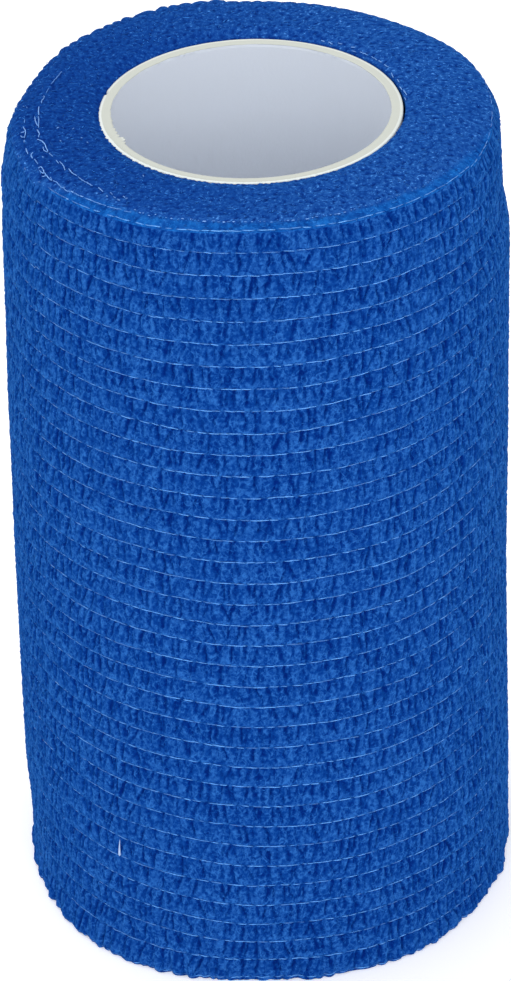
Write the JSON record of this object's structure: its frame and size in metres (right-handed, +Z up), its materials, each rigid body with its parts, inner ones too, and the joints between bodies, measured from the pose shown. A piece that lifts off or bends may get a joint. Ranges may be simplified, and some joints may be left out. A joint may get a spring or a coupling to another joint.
{
  "type": "cohesive bandage roll",
  "caption": "Roll of blue crinkled cohesive bandage, ribbed by elastic threads and wound on an open paper core, standing on its end.",
  "frame": {"origin": "middle of the base that the roll stands on", "axes": "+Z up along the roll's axis, -Y towards the front; the cut end of the cloth is at the back, +Y"},
  "size_m": [0.0574, 0.0573, 0.1],
  "materials": {
    "cloth": "matte crinkled elastic nonwoven",
    "paper": "matte wound paper board"
  },
  "bodies": {
    "root": {"core": "paper", "bandage": "cloth"}
  },
  "joints": []
}
